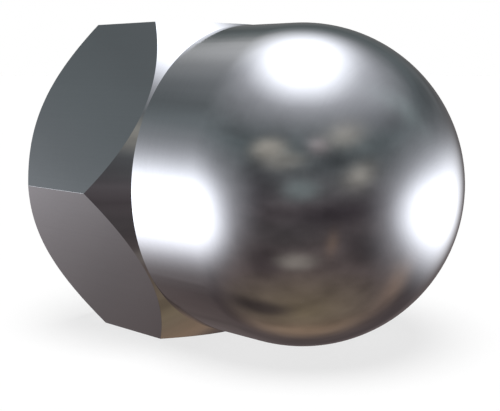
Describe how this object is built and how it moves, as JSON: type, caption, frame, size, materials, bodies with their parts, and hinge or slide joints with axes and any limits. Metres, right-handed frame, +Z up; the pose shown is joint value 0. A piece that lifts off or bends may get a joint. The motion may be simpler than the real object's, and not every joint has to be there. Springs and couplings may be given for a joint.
{
  "type": "cap nut",
  "caption": "Hexagon cap nut with a polished ball dome that closes its blind threaded hole, lying on one flat.",
  "frame": {"origin": "centre of the bearing face, on the thread's axis", "axes": "+X along the thread's axis from the bearing face to the top of the dome; +Z up, square to the flat that the nut lies on; +Y level, through a corner of the hexagon"},
  "size_m": [0.0126, 0.0116, 0.01],
  "materials": {
    "chrome_plate": "polished"
  },
  "bodies": {
    "root": {"cap_nut": "chrome_plate"}
  },
  "joints": []
}
